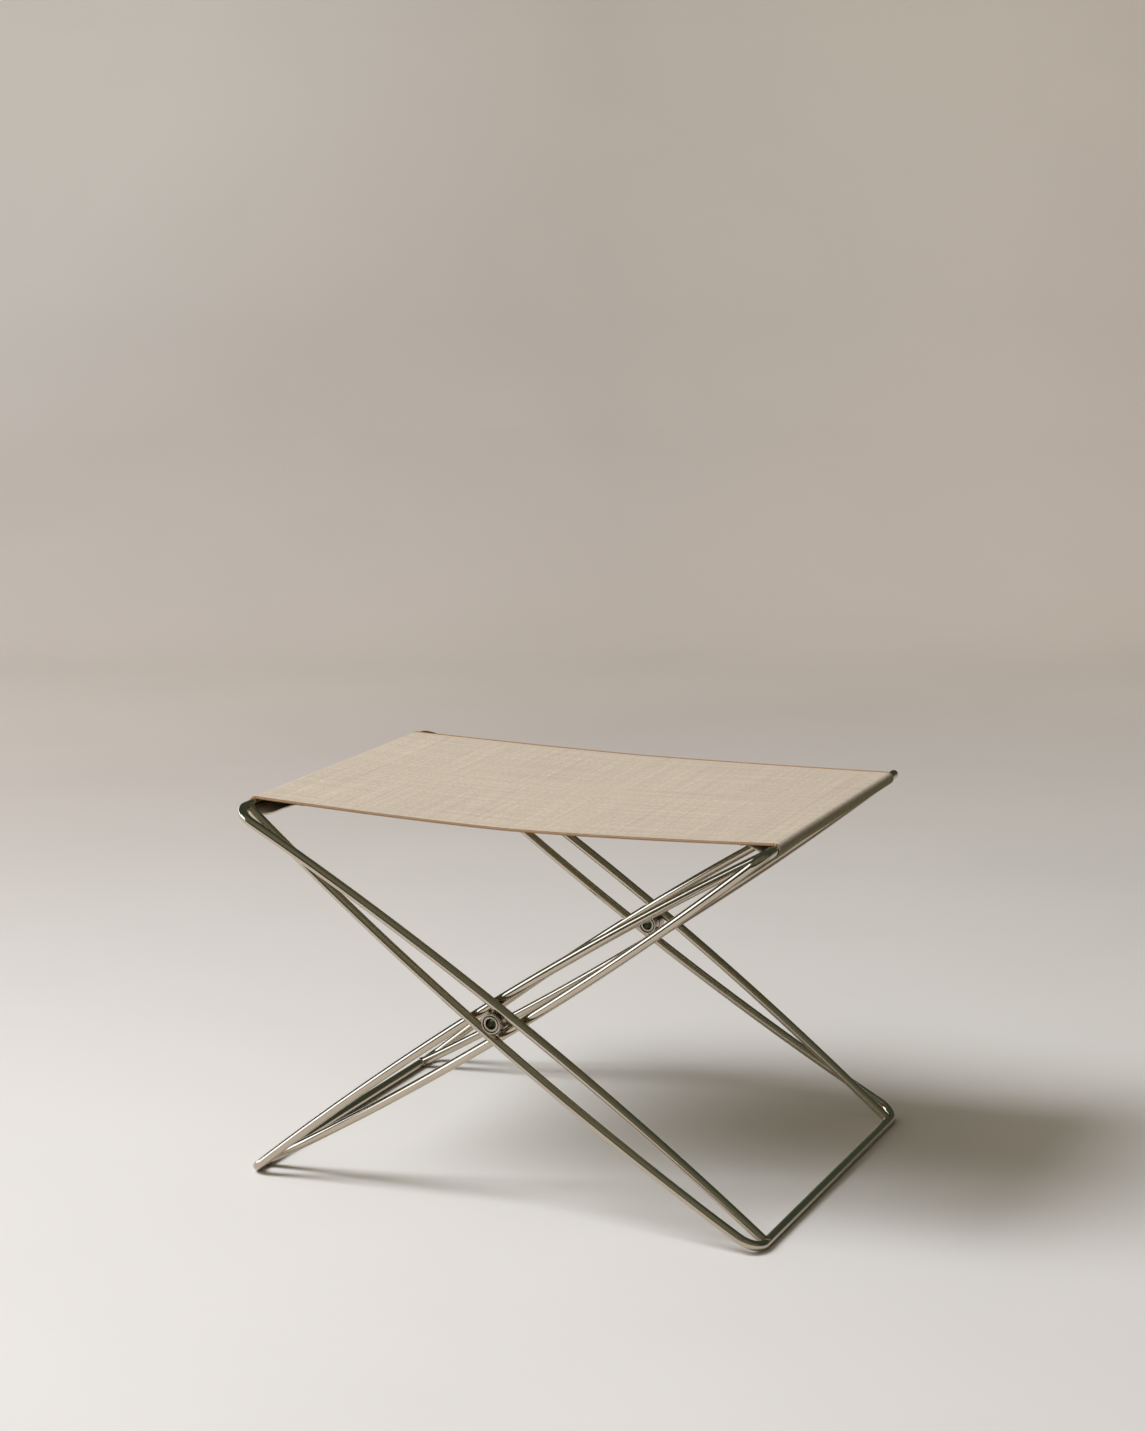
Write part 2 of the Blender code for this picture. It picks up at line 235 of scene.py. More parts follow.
STEEL = satin_drawn_steel()

# %% [markdown]
# Weld metal is the same steel, melted and frozen in small overlapping scales. It is duller and a
# little browner than the rod, with straw-coloured and grey patches where the heat has tinted it.

# %% Weld metal
# Heat tints come in patches of about 2 mm, on a skin that is uneven by 0.2 mm.
WELD = mottled("tinted_weld_metal", 450.0, 3.0, ((0.35, "8d8677"), (0.65, "c9bea6")),
               roughness=(0.25, 0.5), relief=(0.5, 0.0002), Metallic=1.0)

# %% [markdown]
# The pivot tubes and pins were turned on a lathe, which leaves fine rings round the axis. Seen
# end on, the rings spread the light in a soft cross. They are drawn 0.35 mm apart, about three
# times as coarse as the tool really leaves them, so that a close picture can show them. The bore
# of the pin is given a darker, greyer colour than the rest.

# %% Lathe-turned steel
PIN_BORE = 0.0056
TOOL_RING_PITCH = 0.00035


def turned_steel():
    made, tree = new_finish("lathe_turned_stainless_steel")
    where = add_node(tree, "TexCoord").outputs["Object"]
    centred = add_node(tree, "Mapping", {"Vector": where, "Location": (0, 0, -PIVOT_Z)}).outputs[0]
    flat = vectors(tree, "MULTIPLY", {0: centred, 1: (1.0, 0.0, 1.0)})
    out = vectors(tree, "LENGTH", {0: flat}, "Value")
    rings = maths(tree, "SINE", maths(tree, "MULTIPLY", out, 2 * math.pi / TOOL_RING_PITCH))
    smudge = noise(tree, where, 160.0, 3.0)
    # Inside the bore of the pin the colour is the darker, greyer 8a8a7a.
    off_bore = remap(tree, out, PIN_BORE + 0.00025, PIN_BORE + 0.00045)
    tone = ramp(tree, smudge, (0.0, "a89e8c"), (1.0, "cfc6b7"))
    return finished(made, {
        "Base Color": mixed(tree, off_bore, linear("8a8a7a"), tone), "Metallic": 1.0,
        "Roughness": remap(tree, smudge, 0.0, 1.0, 0.2, 0.38),
        "Normal": bump(tree, rings, 0.2, 0.00003)})


TURNED = turned_steel()

# %% [markdown]
# The bushes and washers are turned from black nylon. It is not quite black, has a soft waxy
# gloss, and a fine grain from the tool.

# %% Black nylon
# The grain is 0.7 mm from mark to mark.
NYLON = mottled("turned_black_nylon", 1500.0, 2.0, ((0.0, "1c1c19"), (1.0, "34332e")),
                roughness=(0.42, 0.6), relief=(0.2, 0.0001), IOR=1.53)

# %% [markdown]
# The seat is heavy unbleached linen canvas in a plain weave: each thread goes over one and under
# the next, and the threads are uneven, with thick and thin places called slubs. That gives the
# cloth its warm, slightly mottled, matt look. The real threads lie about 0.7 mm apart; they are
# drawn 1.2 mm apart so that the weave can be seen. The pattern is worked out on a map in metres
# that runs along the cloth as it was cut, so it turns round the bars as cloth does. Two sines
# multiplied give a chequer of bumps, and their sign says which thread is on top.

# %% Linen canvas
WEAVE_PITCH = 0.0012


def linen_canvas():
    made, tree = new_finish("unbleached_linen_canvas")
    metres = add_node(tree, "UVMap", uv_map="metres").outputs["UV"]
    # Threads stray by up to about a third of their spacing.
    wander = add_node(tree, "TexNoise", {"Vector": metres, "Scale": 70.0, "Detail": 2.0})
    stray = vectors(tree, "SUBTRACT", {0: wander.outputs["Color"], 1: (0.5, 0.5, 0.5)})
    moved = vectors(tree, "SCALE", {0: stray, "Scale": 2 * WEAVE_PITCH})
    place = vectors(tree, "ADD", {0: metres, 1: moved})
    turns = vectors(tree, "SCALE", {0: place, "Scale": math.pi / WEAVE_PITCH})
    waves_of_threads = add_node(tree, "SeparateXYZ", {0: vectors(tree, "SINE", {0: turns})}).outputs
    chequer = maths(tree, "MULTIPLY", waves_of_threads[0], waves_of_threads[1])
    dome = maths(tree, "ABSOLUTE", chequer)
    warp_on_top = remap(tree, chequer, -0.1, 0.1)
    # Slubs: stretched along the threads of each set, about 2 mm wide and 5 mm long.
    warp_slub = noise(tree, metres, (190.0, 500.0), 4.0, Roughness=0.65)
    weft_slub = noise(tree, metres, (700.0, 220.0), 4.0, Roughness=0.65)
    slub = add_node(tree, "Mix", {0: warp_on_top, 2: warp_slub, 3: weft_slub}).outputs[0]
    tone = ramp(tree, slub, (0.30, "b6a48d"), (0.5, "d3c5b1"), (0.68, "e3d6c2"))
    # Yarn is spun in long lengths, so bands of threads 3 to 6 mm wide are a bit lighter or darker.
    bands = [remap(tree, noise(tree, metres, scale, 3.0), 0.3, 0.7, 0.92, 1.08)
             for scale in ((5.0, 170.0), (300.0, 5.0))]
    # Painted shade: the gaps between threads are painted darker, as shade falls into them.
    painted_gap_shade = remap(tree, dome, 0.0, 0.35, 0.72, 1.0)
    # The real yarn bands, times the painted shade in the gaps.
    yarn_bands_and_gap_shade = maths(tree, "MULTIPLY", *bands, painted_gap_shade)
    thick = maths(tree, "MULTIPLY", slub, dome)
    return finished(made, {
        "Base Color": multiplied(tree, tone, yarn_bands_and_gap_shade), "Specular IOR Level": 0.25,
        "Roughness": remap(tree, slub, 0.0, 1.0, 0.95, 0.8), "Sheen Weight": 0.12,
        "Sheen Roughness": 0.6, "Normal": bump(tree, thick, 0.45, 0.0006)})


CANVAS = linen_canvas()

# %% [markdown]
# Sewing thread is a few fine yarns twisted together, so it shows slanting bands along its length:
# they are raised in relief, and painted darker in the grooves as painted shade.
# The same net makes both threads: a brown one for the overlocked edges, and one in the colour of
# the canvas for the hems, which is why the hems hardly show from above.

# %% Twisted sewing thread
PLY_LENGTH = 0.0009
PLY_GIRTH = 0.0016


def twisted_thread(name, valley, crest):
    made, tree = new_finish(name)
    metres = add_node(tree, "UVMap", uv_map="metres").outputs["UV"]
    # One band to each 0.9 mm of thread, and it slants round it.
    slant = add_node(tree, "Mapping", {"Vector": metres,
                                       "Scale": (1.0 / PLY_GIRTH, 1.0 / PLY_LENGTH, 1.0)})
    ways = add_node(tree, "SeparateXYZ", {0: slant.outputs[0]}).outputs
    ply = maths(tree, "ADD", ways[0], ways[1])
    band = maths(tree, "SINE", maths(tree, "MULTIPLY", ply, 2 * math.pi))
    height = remap(tree, band, -1.0, 1.0)
    return finished(made, {
        # Painted shade: the colour runs from the darker valley colour in the grooves between the
        # plies to the crest colour on their tops.
        "Base Color": ramp(tree, height, (0.0, valley), (1.0, crest)), "Roughness": 0.75,
        "Sheen Weight": 0.15, "Normal": bump(tree, height, 0.5, 0.0001)})


BROWN_THREAD = twisted_thread("brown_twisted_thread", "83592f", "c99a5f")
LINEN_THREAD = twisted_thread("linen_twisted_thread", "b3a58b", "d8ccb6")

# %% [markdown]
# Rod, weld bead and thread are all one shape: a round section carried along a line. The helper
# below carries it with as little twist as it can, takes a radius for each point, and lays a map in
# metres on the skin, so that every finish knows the real size of what it is on.

# %% A round section carried along a line
def add_object(name, data):
    made = bpy.data.objects.new(name, data)
    bpy.context.scene.collection.objects.link(made)
    return made


def add_piece(name, corners, faces, uvs, finish, sharp=None):
    """A mesh object with a map in metres, smooth except at edges sharper than the angle given."""
    mesh = bpy.data.meshes.new(name)
    mesh.from_pydata([tuple(c) for c in corners], [], faces)
    layer = mesh.uv_layers.new(name="metres")
    layer.data.foreach_set("uv", np.array(uvs, np.float32).ravel())
    mesh.polygons.foreach_set("use_smooth", [True] * len(mesh.polygons))
    if sharp:
        mesh.set_sharp_from_angle(angle=math.radians(sharp))
    mesh.materials.append(finish)
    return add_object(name, mesh)


def swept(points, radius, sides, closed=False):
    """Corners, faces and map of a round section on a line. radius is a number or one to a point."""
    line = np.array([tuple(p) for p in points], float)
    count = len(line)
    radii = np.full(count, radius, float) if np.isscalar(radius) else np.array(radius, float)
    way = np.roll(line, -1, 0) - np.roll(line, 1, 0) if closed else np.gradient(line, axis=0)
    way /= np.linalg.norm(way, axis=1)[:, None]
    first = np.cross(way[0], (0.0, 0.0, 1.0) if abs(way[0][2]) < 0.9 else (1.0, 0.0, 0.0))
    normals = [first / np.linalg.norm(first)]
    for k in range(1, count):
        kept = normals[-1] - way[k] * (normals[-1] @ way[k])
        normals.append(kept / np.linalg.norm(kept))
    normals = np.array(normals)
    sideways = np.cross(way, normals)
    turn = 2 * math.pi * np.arange(sides) / sides
    ring = normals[:, None] * np.cos(turn)[:, None] + sideways[:, None] * np.sin(turn)[:, None]
    corners = (line[:, None] + ring * radii[:, None, None]).reshape(-1, 3)
    steps = np.linalg.norm(np.diff(line, axis=0, append=line[:1]), axis=1)
    gone = np.concatenate([[0.0], np.cumsum(steps)])
    faces, uvs = [], []
    girth = 2 * math.pi * float(radii.mean()) / sides
    for k in range(count if closed else count - 1):
        after = (k + 1) % count
        for s in range(sides):
            t = (s + 1) % sides
            faces.append((k * sides + s, k * sides + t, after * sides + t, after * sides + s))
            uvs += [(s * girth, gone[k]), ((s + 1) * girth, gone[k]),
                    ((s + 1) * girth, gone[k + 1]), (s * girth, gone[k + 1])]
    if not closed:
        for ends, at in ((range(sides - 1, -1, -1), 0), (range(sides), count - 1)):
            faces.append(tuple(at * sides + s for s in ends))
            uvs += [(math.cos(turn[s]) * radii[at], math.sin(turn[s]) * radii[at]) for s in ends]
    return corners, faces, uvs


def joined(parts):
    """Several swept sections as the corners, faces and map of one piece."""
    corners, faces, uvs = [], [], []
    for part in parts:
        shift = len(corners)
        corners += [tuple(c) for c in part[0]]
        faces += [tuple(i + shift for i in face) for face in part[1]]
        uvs += part[2]
    return corners, faces, uvs


ROD_SIDES = 28
off_circle = (1 - math.cos(math.pi / ROD_SIDES)) * ROD_RADIUS * 1000
print(f"a {ROD_SIDES}-sided ring differs from a circle by", round(off_circle, 3), "mm on a rod")

# %% [markdown]
# Each frame is two U-shaped rods. One U bends into the top bar and the other into the foot bar.
# The arms of a U run on to the bar of the other one and are welded to it, and on the way the two
# bow apart to pass above and below a pivot tube. The line of an arm is written as a function of s,
# which is -1 at the foot bar, 0 at the pivot and 1 at the top bar, so a rod is just its points.

# %% Lines of the rods
ARM_STEPS = 64
BEND_STEPS = 18
BAR_STEPS = 12
# An arm's end stops this short of the axis of the bar, so it lies hidden in the bar.
WELD_GAP = 0.0036


def arm_point(frame_name, bend_end, s, side):
    """Centre of an arm at s. bend_end is 1 for the U that makes the top bar, -1 for the other."""
    lean = LEAN[frame_name]
    along = Vector((lean * BAR_SPAN, 0.0, BAR_RISE)) / 2
    across = Vector((-lean * BAR_RISE, 0.0, BAR_SPAN)) / ARM_CHORD
    bow = -lean * bend_end * ARM_BOW * (1.0 - s * s)
    depth = HALF_DEPTH[frame_name] - ARM_SPLAY * (1.0 - bend_end * s) / 2
    return PIVOT + along * s + across * bow + Vector((0.0, side * depth, 0.0))


def corner_arc(corner, arm_way, bar_way, radius):
    """Points round one bend, from the arm to the bar."""
    half = arm_way.angle(bar_way) / 2
    centre = corner + (arm_way + bar_way).normalized() * (radius / math.sin(half))
    reach = radius / math.tan(half)
    start = (corner + arm_way * reach - centre).normalized()
    end = (corner + bar_way * reach - centre).normalized()
    return [centre + start.slerp(end, k / BEND_STEPS) * radius for k in range(BEND_STEPS + 1)]


def arm_line(frame_name, bend_end, side):
    """Points from just inside the bar that the arm is welded to, up to its own bar."""
    radius = BEND_RADIUS[frame_name]
    bend_s = bend_end * (1.0 - 4.0 * radius / ARM_CHORD)
    weld_s = -bend_end * (1.0 - 2.0 * WELD_GAP / ARM_CHORD)
    points = [arm_point(frame_name, bend_end, weld_s + (bend_s - weld_s) * k / ARM_STEPS, side)
              for k in range(ARM_STEPS + 1)]
    corner = arm_point(frame_name, bend_end, bend_end, side)
    arm_way = (points[-1] - corner).normalized()
    return points + corner_arc(corner, arm_way, Vector((0.0, -side, 0.0)), radius)


print("the line of an arm has", len(arm_line("outer", 1, -1)), "points")

# %% The four rods
def add_rod(frame_name, bar_name):
    front, rear = (arm_line(frame_name, SIGN[bar_name], side) for side in (-1, 1))
    # Extra points on the straight bar keep the map and the shading even.
    bar = [front[-1].lerp(rear[-1], k / BAR_STEPS) for k in range(1, BAR_STEPS)]
    node = f"{frame_name}_frame_{bar_name}_rod"
    skin = swept(front + bar + rear[::-1], ROD_RADIUS, ROD_SIDES)
    piece = add_piece(f"satin_{node}", *skin, STEEL, sharp=50)
    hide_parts(node)
    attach(piece, f"{frame_name}_frame")
    return piece


rods = [add_rod(frame_name, bar_name) for frame_name in LEAN for bar_name in ("top", "foot")]
print("made", len(rods), "rods with", sum(len(r.data.polygons) for r in rods), "faces")

# %% [markdown]
# Where an arm meets a bar it was cut to a saddle and welded all round. Two round rods of one size
# meet along a bent oval. It is found here ring point by ring point: each point starts on the arm's
# skin and slides along the arm until it is one radius from the bar's axis. A thin bead with small
# scales, which a welder leaves drop by drop, is then carried along that oval.

# %% Welds at the bars
BEAD_RADIUS = 0.00115
BEAD_POINTS = 96
BEAD_SCALES = 16


def saddle_points(frame_name, bend_end, side):
    """Points of the oval on which an arm meets the bar that it is welded to."""
    end = arm_point(frame_name, bend_end, -bend_end, side)
    way = (arm_point(frame_name, bend_end, -bend_end * 0.96, side) - end).normalized()
    bar = Vector((0.0, 1.0, 0.0))
    first = way.cross(bar).normalized()
    second = first.cross(way)
    points = []
    for k in range(BEAD_POINTS):
        turn = 2 * math.pi * k / BEAD_POINTS
        skin = (first * math.cos(turn) + second * math.sin(turn)) * ROD_RADIUS
        flat_way = way - bar * way.dot(bar)
        flat_skin = skin - bar * skin.dot(bar)
        a, b = flat_way.length_squared, flat_way.dot(flat_skin)
        c = flat_skin.length_squared - ROD_RADIUS ** 2
        slide = (-b + math.sqrt(max(b * b - a * c, 0.0))) / a
        points.append(end + skin + way * slide)
    return points


def scaled_radius(count, scales, radius):
    """One radius to a point, swelling and thinning as a welder's drops do."""
    return [radius * (1.0 + 0.16 * math.sin(2 * math.pi * scales * k / count)
                      + 0.06 * math.sin(2 * math.pi * (3 * k / count + 0.2)))
            for k in range(count)]


def add_welds(frame_name, place, parts, sharp=None):
    piece = add_piece(f"{frame_name}_frame_{place}_welds", *joined(parts), WELD, sharp)
    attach(piece, f"{frame_name}_frame")
    print("made", len(parts), place, "welds on the", frame_name, "frame")


def add_bar_welds(frame_name):
    drops = scaled_radius(BEAD_POINTS, BEAD_SCALES, BEAD_RADIUS)
    parts = []
    for bend_end, side in product((1, -1), (-1, 1)):
        ring = saddle_points(frame_name, bend_end, side)
        # Under a foot bar the bead was ground back, so that the bar still lies on the floor.
        radii = [min(r, max(p.z, 0.0002)) for r, p in zip(drops, ring)]
        parts.append(swept(ring, radii, 10, closed=True))
    add_welds(frame_name, "bar", parts)


for frame_name in LEAN:
    add_bar_welds(frame_name)

# %% [markdown]
# A pivot is a stack of rings on one axis. A short tube is welded between the two arms of each
# frame, a thin nylon bush lines it, a nylon washer keeps the two tubes apart, and a hollow pin
# goes through all of them, with its ends rolled over into lips. All of them are turned parts, so
# each is a section spun round the axis. The corners of the section are eased by a few tenths of a
# millimetre, because it is the eased edge that catches the light on a real turned part.

# %% Turned pieces
def eased(profile, ease):
    """The closed section with each corner rounded by three points."""
    points = [Vector(p) for p in profile]
    made = []
    for k, corner in enumerate(points):
        before, after = points[k - 1] - corner, points[(k + 1) % len(points)] - corner
        cut = min(ease, before.length * 0.4, after.length * 0.4)
        a, b = corner + before.normalized() * cut, corner + after.normalized() * cut
        made += [a, (a + corner * 2 + b) / 4, b]
    return made


def spun(profile, side, steps=72):
    """Corners, faces and map of a section of (radius, distance from the middle plane) points."""
    corners, faces, uvs = [], [], []
    count = len(profile)
    for k in range(steps):
        turn = 2 * math.pi * k / steps
        for radius, level in profile:
            corners.append((radius * math.cos(turn), side * level,
                            PIVOT_Z + radius * math.sin(turn)))
    run = [0.0]
    for k in range(count):
        run.append(run[-1] + (profile[(k + 1) % count] - profile[k]).length)
    for k in range(steps):
        after = (k + 1) % steps
        for p in range(count):
            q = (p + 1) % count
            face = (k * count + p, after * count + p, after * count + q, k * count + q)
            arc = profile[p][0] * 2 * math.pi / steps
            flat = [(k * arc, run[p]), ((k + 1) * arc, run[p]),
                    ((k + 1) * arc, run[p + 1]), (k * arc, run[p + 1])]
            if side > 0:
                face, flat = face[::-1], flat[::-1]
            faces.append(face)
            uvs += flat
    return corners, faces, uvs


def plain_ring(bore, rim):
    """A function that gives the section of a ring between two distances."""
    return lambda near, far: [(bore, near), (bore, far), (rim, far), (rim, near)]


def rolled_pin(near, far):
    """Section of the hollow pin, with a rolled lip of 0.8 mm at each end."""
    shank, lip, roll = 0.0070, 0.0078, 0.0008
    return [(PIN_BORE, near), (PIN_BORE, far), (lip, far), (lip, far - roll), (shank, far - roll),
            (shank, near + roll), (lip, near + roll), (lip, near)]


print("the section of a 25 mm pin has", len(rolled_pin(0.0, 0.025)), "corners")

# %% The pivots
TUBE_RADIUS = 0.0104
TUBE = plain_ring(0.0089, TUBE_RADIUS)
BUSH = plain_ring(0.0073, 0.0086)
WASHER = plain_ring(0.0073, TUBE_RADIUS)
# Finish, slot and ease of the corners of the two materials.
METAL = (TURNED, "brushed_steel", 0.00035)
PLASTIC = (NYLON, "black_nylon", 0.0002)
PIVOT_PIECES = {
    "outer_pivot_tube": (TUBE, METAL, "outer"), "inner_pivot_tube": (TUBE, METAL, "inner"),
    "outer_pivot_bush": (BUSH, PLASTIC, "outer"), "inner_pivot_bush": (BUSH, PLASTIC, "inner"),
    "pivot_washer": (WASHER, PLASTIC, "outer"), "pivot_pin": (rolled_pin, METAL, "outer"),
}
# Nearest and furthest distance of each piece from the middle plane, read from the solids.
REACH = {name: [corner[1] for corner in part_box(f"rear_{name}")] for name in PIVOT_PIECES}


def add_pivot(end_name):
    for name, (section_of, (finish, slot, ease), frame_name) in PIVOT_PIECES.items():
        skin = spun(eased(section_of(*REACH[name]), ease), SIGN[end_name])
        piece = add_piece(f"turned_{end_name}_{name}", *skin, finish, sharp=40)
        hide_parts(f"{end_name}_{name}")
        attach(piece, f"{frame_name}_frame")


for end_name in ("front", "rear"):
    add_pivot(end_name)
print("made two pivots of", len(PIVOT_PIECES), "pieces each, which reach from",
      [round(v * 1000, 1) for v in REACH["pivot_pin"]], "mm")

# %% [markdown]
# Each pivot tube is held by four short beads, in the grooves where the two arms lie against it.
# They are straight runs of the same scaled bead, thin at both ends where the arc was struck and
# broken off.

# %% Welds at the pivot tubes
RUN_LENGTH = 0.0086
RUN_POINTS = 40
RUN_SCALES = 7
RUN_RADIUS = 0.0014


def add_tube_welds(frame_name):
    lean = LEAN[frame_name]
    chord = Vector((lean * BAR_SPAN, 0.0, BAR_RISE)) / ARM_CHORD
    across = Vector((-lean * BAR_RISE, 0.0, BAR_SPAN)) / ARM_CHORD
    from_axis = TUBE_RADIUS + 0.0008
    off_rod = ARM_BOW - ROD_RADIUS - 0.0012
    reach = math.sqrt(from_axis ** 2 - off_rod ** 2)
    depth = HALF_DEPTH[frame_name] - ARM_SPLAY / 2
    radii = [r * min(1.0, 0.35 + 3.2 * min(k, RUN_POINTS - 1 - k) / RUN_POINTS)
             for k, r in enumerate(scaled_radius(RUN_POINTS, RUN_SCALES, RUN_RADIUS))]
    parts = []
    for side, up, way in product((-1, 1), repeat=3):
        middle = (PIVOT + chord * (way * reach) + across * (up * off_rod)
                  + Vector((0, side * depth, 0)))
        line = [middle + Vector((0, (k / (RUN_POINTS - 1) - 0.5) * RUN_LENGTH, 0))
                for k in range(RUN_POINTS)]
        parts.append(swept(line, radii, 12))
    add_welds(frame_name, "tube", parts, sharp=70)


for frame_name in LEAN:
    add_tube_welds(frame_name)

# %% [markdown]
# The seat is one strip of canvas. Each end is folded round a top bar and sewn down on itself, so
# it hangs on the bars as in a loose tunnel. The way to model it is as it was cut: a section runs
# from hem end to hem end, and the distance along that section is the distance along the flat
# cloth. It is then laid out at many stations along the bars, dips a little between them, and gets
# a thickness. It isn't simulated, because cloth that is held tight by two bars barely moves.

# %% The line of the cloth
CLOTH = 0.0012
WRAP = ROD_RADIUS + 0.0003 + CLOTH / 2
SAG_FRONT = 0.0095
SAG_REAR = 0.0045
# Depth of each hem from its fold to its seam, and how far it hangs under the bar.
HEMS = {-1: (0.055, 0.005), 1: (0.033, 0.0)}
HEM_ALLOWANCE = 0.008
# The two layers of a hem lie this far apart where they are sewn.
SEWN_GAP = 0.0003
SEAT_STEPS = 150
BAR_X = BAR_SPAN / 2
BAR_Z = BAR_RISE / 2


def seam_x(side):
    return side * (BAR_X + WRAP + CLOTH / 2 - HEMS[side][0])


def seat_height(x, share):
    """Height of the seat over the pivot axis; share is -1 at the front edge and 1 at the rear."""
    sag = SAG_FRONT + (SAG_REAR - SAG_FRONT) * (share + 1) / 2
    return BAR_Z + WRAP - sag * (1.0 - abs(x / BAR_X) ** 1.5)


def smooth_through(points, steps):
    """Points of a smooth curve through the given ones, without the first."""
    made = []
    for k in range(len(points) - 1):
        p0, p1, p2 = points[max(k - 1, 0)], points[k], points[k + 1]
        p3 = points[min(k + 2, len(points) - 1)]
        for s in range(1, steps + 1):
            t = s / steps
            made.append(tuple(0.5 * ((2 * b) + (c - a) * t + (2 * a - 5 * b + 4 * c - d) * t ** 2
                                     + (3 * b - a - 3 * c + d) * t ** 3)
                              for a, b, c, d in zip(p0, p1, p2, p3)))
    return made


def hem_line(side, share):
    """Section of one hem, from the crest of the bar round it to the end of the cloth."""
    wrap = [(side * (BAR_X + WRAP * math.cos(math.radians(d))),
             BAR_Z + WRAP * math.sin(math.radians(d))) for d in range(80, -91, -10)]
    seam = (seam_x(side), seat_height(seam_x(side), share) - CLOTH - SEWN_GAP)
    end_x = seam[0] - side * HEM_ALLOWANCE
    end = (end_x, seat_height(end_x, share) - CLOTH - SEWN_GAP)
    low = (side * BAR_X + (seam[0] - side * BAR_X) * 0.27, BAR_Z - WRAP - HEMS[side][1])
    # The knot halfway keeps the climb from the lowest point to the seam straight.
    halfway = ((low[0] + seam[0]) / 2, (low[1] + seam[1]) / 2)
    # The curve starts one knot early, so that it leaves the bar without a kink.
    steps = 7
    return wrap + smooth_through([*wrap[-2:], low, halfway, seam, end], steps)[steps:]


def section(share):
    """Section of the cloth as (x, z) over the pivot axis, from the left hem end to the right."""
    xs = [BAR_SPAN * (k / SEAT_STEPS - 0.5) for k in range(SEAT_STEPS + 1)]
    seat = [(x, seat_height(x, share)) for x in xs]
    return np.array(hem_line(-1, share)[::-1] + seat + hem_line(1, share))


def along_cloth(line):
    """Distance along a section from the left hem end."""
    return np.concatenate([[0.0], np.cumsum(np.linalg.norm(np.diff(line, axis=0), axis=1))])


# %% [markdown]
# Cloth under tension is never a perfect sheet. Long shallow waves of a few tenths of a millimetre
# run from bar to bar, and the stitching draws the two long edges up and down in small scallops.
# One function gives both, for the cloth and for everything that is sewn on it, so threads stay on
# it.

# %% A point on the cloth
# Distance of each edge of the cloth from the middle plane, at the left bar and at the right bar,
# where the inner frame's arms leave less room.
EDGES = {-1: (0.1805, 0.1762), 1: (0.1885, 0.1764)}
SCALLOP = 0.00014
SCALLOP_PITCH = 0.011


def edge_y(x, side):
    """Where the front (-1) or rear (1) edge lies."""
    left, right = EDGES[side]
    return side * (left + (right - left) * (x / BAR_X + 1.0) / 2)


def cloth_y(x, share):
    return (edge_y(x, -1) * (1.0 - share) + edge_y(x, 1) * (1.0 + share)) / 2


def waves(x, y):
    """How far the cloth lies above its smooth shape."""
    long_waves = (0.00030 * math.sin(17.0 * y + 2.3 * x + 0.6) * math.cos(3.1 * x - 0.4)
                  + 0.00016 * math.sin(41.0 * y - 5.0 * x + 1.9))
    fade = max(0.0, 1.0 - abs(x) / (BAR_X - 0.02)) ** 0.5
    edge = math.exp(-min(y - edge_y(x, -1), edge_y(x, 1) - y) / 0.006)
    return (long_waves + SCALLOP * edge * math.sin(2 * math.pi * x / SCALLOP_PITCH)) * fade


def cloth_frame(share):
    """For one station: points of the middle of the cloth, the outward normals, and distances."""
    line = section(share)
    way = np.gradient(line, axis=0)
    way /= np.linalg.norm(way, axis=1)[:, None]
    points = []
    for x, z in line:
        y = cloth_y(x, share)
        lift = waves(x, y) if z > BAR_Z - 0.008 and abs(x) < BAR_X else 0.0
        points.append((x, y, PIVOT_Z + z + lift))
    outward = np.stack([-way[:, 1], np.zeros(len(line)), way[:, 0]], axis=1)
    return np.array(points), outward, along_cloth(line)


print("the edges rise and fall by", round(2 * SCALLOP * 1000, 2), "mm along the stitches")

# %% The seat canvas
CLOTH_ROWS = 60
# The sewn edges are pressed to this share of the thickness.
PRESSED = 0.72


def add_canvas():
    top, bottom, uv_rows = [], [], []
    for k in range(CLOTH_ROWS + 1):
        # Stations lie closer together near the two stitched edges.
        even = 2 * k / CLOTH_ROWS - 1
        share = math.sin(math.pi / 2 * even) * 0.5 + even * 0.5
        points, outward, gone = cloth_frame(share)
        edge = min(1.0, (1.0 - abs(share)) / 0.004)
        half = CLOTH / 2 * (PRESSED + (1.0 - PRESSED) * edge)
        top.append(points + outward * half)
        bottom.append(points - outward * half)
        uv_rows.append([(g, p[1]) for g, p in zip(gone, points)])
    columns = len(top[0])
    under = columns * (CLOTH_ROWS + 1)
    faces, uvs = [], []

    def face(*spots):
        """A face through spots of row, column and 1 for the lower side."""
        faces.append(tuple(r * columns + c + under * low for r, c, low in spots))
        uvs.extend(uv_rows[r][c] for r, c, low in spots)

    for r in range(CLOTH_ROWS):
        for c in range(columns - 1):
            face((r, c, 0), (r, c + 1, 0), (r + 1, c + 1, 0), (r + 1, c, 0))
            face((r, c, 1), (r + 1, c, 1), (r + 1, c + 1, 1), (r, c + 1, 1))
        last = columns - 1
        face((r, 0, 0), (r + 1, 0, 0), (r + 1, 0, 1), (r, 0, 1))
        face((r, last, 0), (r, last, 1), (r + 1, last, 1), (r + 1, last, 0))
    for c in range(columns - 1):
        r = CLOTH_ROWS
        face((0, c, 0), (0, c, 1), (0, c + 1, 1), (0, c + 1, 0))
        face((r, c, 0), (r, c + 1, 0), (r, c + 1, 1), (r, c, 1))
    corners = np.array(top + bottom).reshape(-1, 3)
    piece = add_piece("woven_seat_canvas", corners, faces, uvs, CANVAS, sharp=60)
    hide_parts("seat_canvas")
    return piece


canvas = add_canvas()
print("made the canvas with", len(canvas.data.polygons), "faces")

